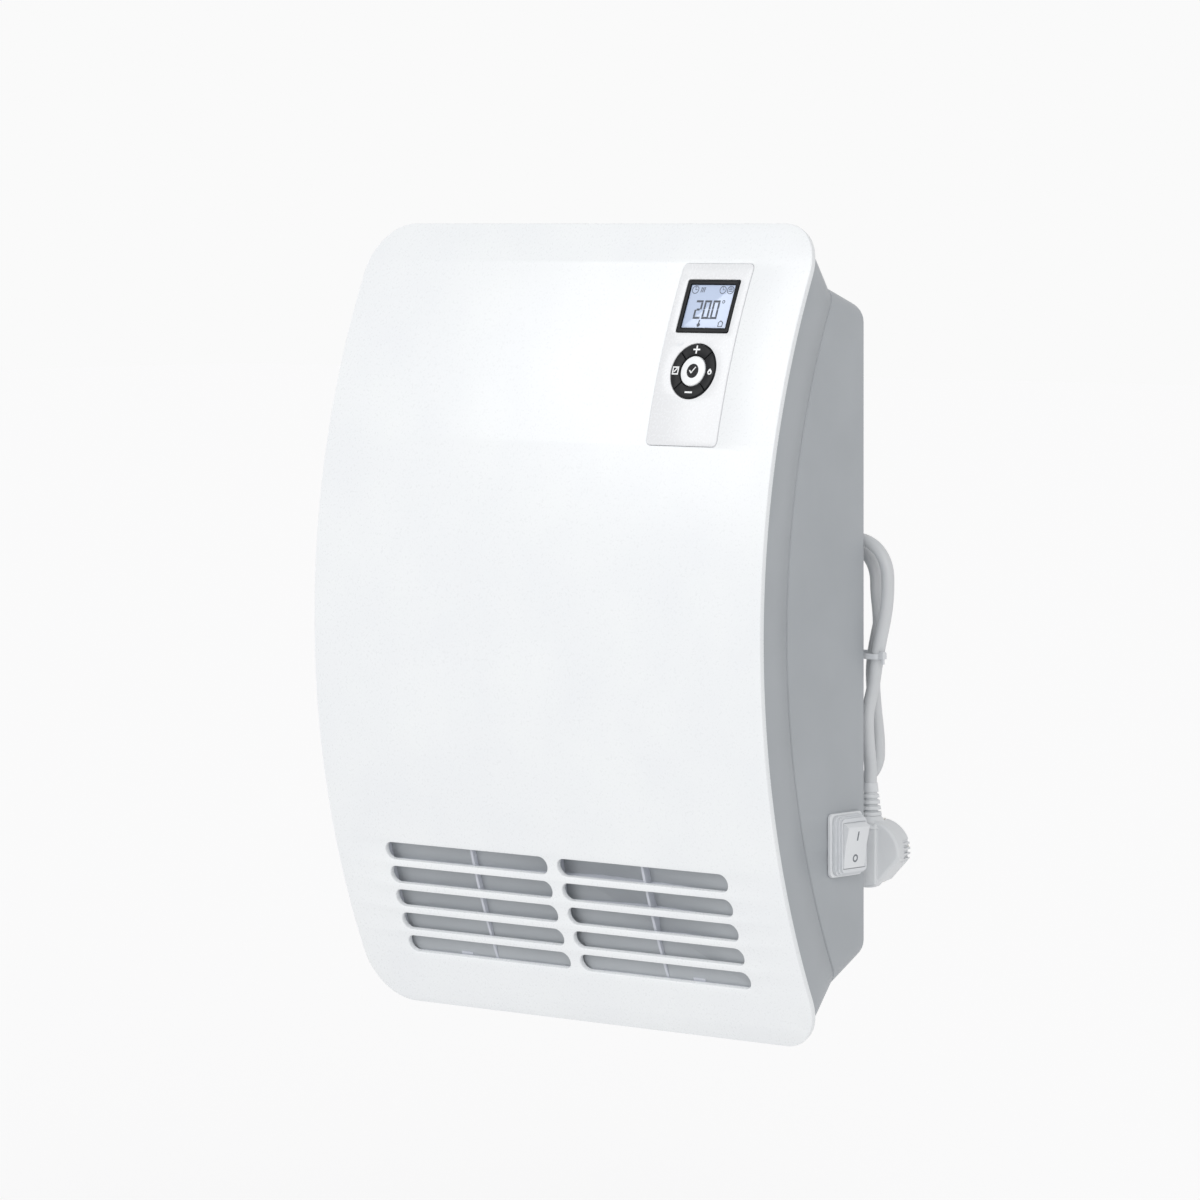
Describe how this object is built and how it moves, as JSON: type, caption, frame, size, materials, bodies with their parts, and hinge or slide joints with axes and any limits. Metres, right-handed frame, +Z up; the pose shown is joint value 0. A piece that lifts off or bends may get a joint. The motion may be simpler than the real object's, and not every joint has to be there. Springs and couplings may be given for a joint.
{
  "type": "bathroom wall fan heater",
  "caption": "Wall-hung fan heater with a bowed white panel, slotted air outlet, key pad with display, side rocker switch and a tied mains lead.",
  "frame": {"origin": "middle of the wall bracket's back face, which lies on the wall", "axes": "+X to the right for a person who faces the heater, +Y from the room into the wall, +Z up"},
  "size_m": [0.345, 0.1703, 0.47],
  "materials": {
    "panel": "satin white moulding",
    "casing": "fine matt light grey",
    "louvre": "matt light grey",
    "plate": "smooth white",
    "keys": "smooth black",
    "display": "backlit display, pale blue",
    "white_plastic": "smooth white",
    "cord": "soft pale grey sheath",
    "plug": "moulded pale grey",
    "pins": "bright",
    "steel": "zinc-plated",
    "bracket_steel": "zinc-plated sheet",
    "aluminium": "plain",
    "copper": "enamelled winding",
    "board": "solder mask green",
    "dark_plastic": "matt dark grey",
    "rubber": "matt",
    "mica": "mica sheet",
    "filter": "coarse mesh",
    "lens": "clear window"
  },
  "bodies": {
    "heater": {"front_panel": "panel", "front_frame": "casing", "rear_housing": "casing", "housing_screw_1": "steel", "housing_screw_2": "steel", "housing_screw_3": "steel", "housing_screw_4": "steel", "wall_bracket": "bracket_steel", "outlet_louvre": "louvre", "control_plate": "plate", "display_bezel": "keys", "display_window": "lens", "lcd_module": "display", "key_mat": "rubber", "control_tray": "dark_plastic", "control_board": "board", "motor_stack": "steel", "motor_coil": "copper", "motor_bridge_outer": "aluminium", "motor_bridge_inner": "aluminium", "end_bearing": "pins", "bearing_rubber": "rubber", "fan_scroll": "dark_plastic", "motor_mount": "bracket_steel", "bearing_mount": "dark_plastic", "heater_frame": "mica", "heating_element_1": "aluminium", "heating_element_2": "aluminium", "thermal_cutout": "mica", "thermal_fuse": "white_plastic", "power_board": "board", "relay_1": "keys", "relay_2": "keys", "terminal_block": "dark_plastic", "room_sensor": "white_plastic", "intake_filter": "filter", "switch_bezel": "white_plastic", "switch_body": "dark_plastic", "switch_boot": "white_plastic", "cord_hank": "cord", "cord_exit_run": "cord", "cord_plug_run": "cord", "cord_gland": "white_plastic", "cord_tie": "white_plastic", "plug_body": "plug", "plug_relief": "plug", "plug_pin_1": "pins", "plug_earth_clip_1": "pins", "plug_pin_2": "pins", "plug_earth_clip_2": "pins"},
    "fan": {"fan_rotor": "aluminium", "fan_shaft": "steel", "motor_rotor": "aluminium"},
    "rocker": {"switch_rocker": "white_plastic"},
    "key_heat": {"key_heat": "keys"},
    "key_plus": {"key_plus": "keys"},
    "key_menu": {"key_menu": "keys"},
    "key_minus": {"key_minus": "keys"},
    "key_ok": {"key_ok": "white_plastic"}
  },
  "joints": [
    {"name": "fan_spin", "type": "hinge", "parent": "heater", "child": "fan", "pos_m": [0.006, -0.047, -0.198], "axis": [1, 0, 0], "continuous": true},
    {"name": "rocker_tip", "type": "hinge", "parent": "heater", "child": "rocker", "pos_m": [0.1612, -0.0223, -0.2612], "axis": [0, -1, 0], "range_deg": [0, 18.8]},
    {"name": "key_heat_press", "type": "slide", "parent": "heater", "child": "key_heat", "axis": [0, 0.954, -0.2997], "range_m": [0, 0.0008], "stiffness_N_per_m": 1200},
    {"name": "key_plus_press", "type": "slide", "parent": "heater", "child": "key_plus", "axis": [0, 0.954, -0.2997], "range_m": [0, 0.0008], "stiffness_N_per_m": 1200},
    {"name": "key_menu_press", "type": "slide", "parent": "heater", "child": "key_menu", "axis": [0, 0.954, -0.2997], "range_m": [0, 0.0008], "stiffness_N_per_m": 1200},
    {"name": "key_minus_press", "type": "slide", "parent": "heater", "child": "key_minus", "axis": [0, 0.954, -0.2997], "range_m": [0, 0.0008], "stiffness_N_per_m": 1200},
    {"name": "key_ok_press", "type": "slide", "parent": "heater", "child": "key_ok", "axis": [0, 0.954, -0.2997], "range_m": [0, 0.0008], "stiffness_N_per_m": 1200}
  ]
}
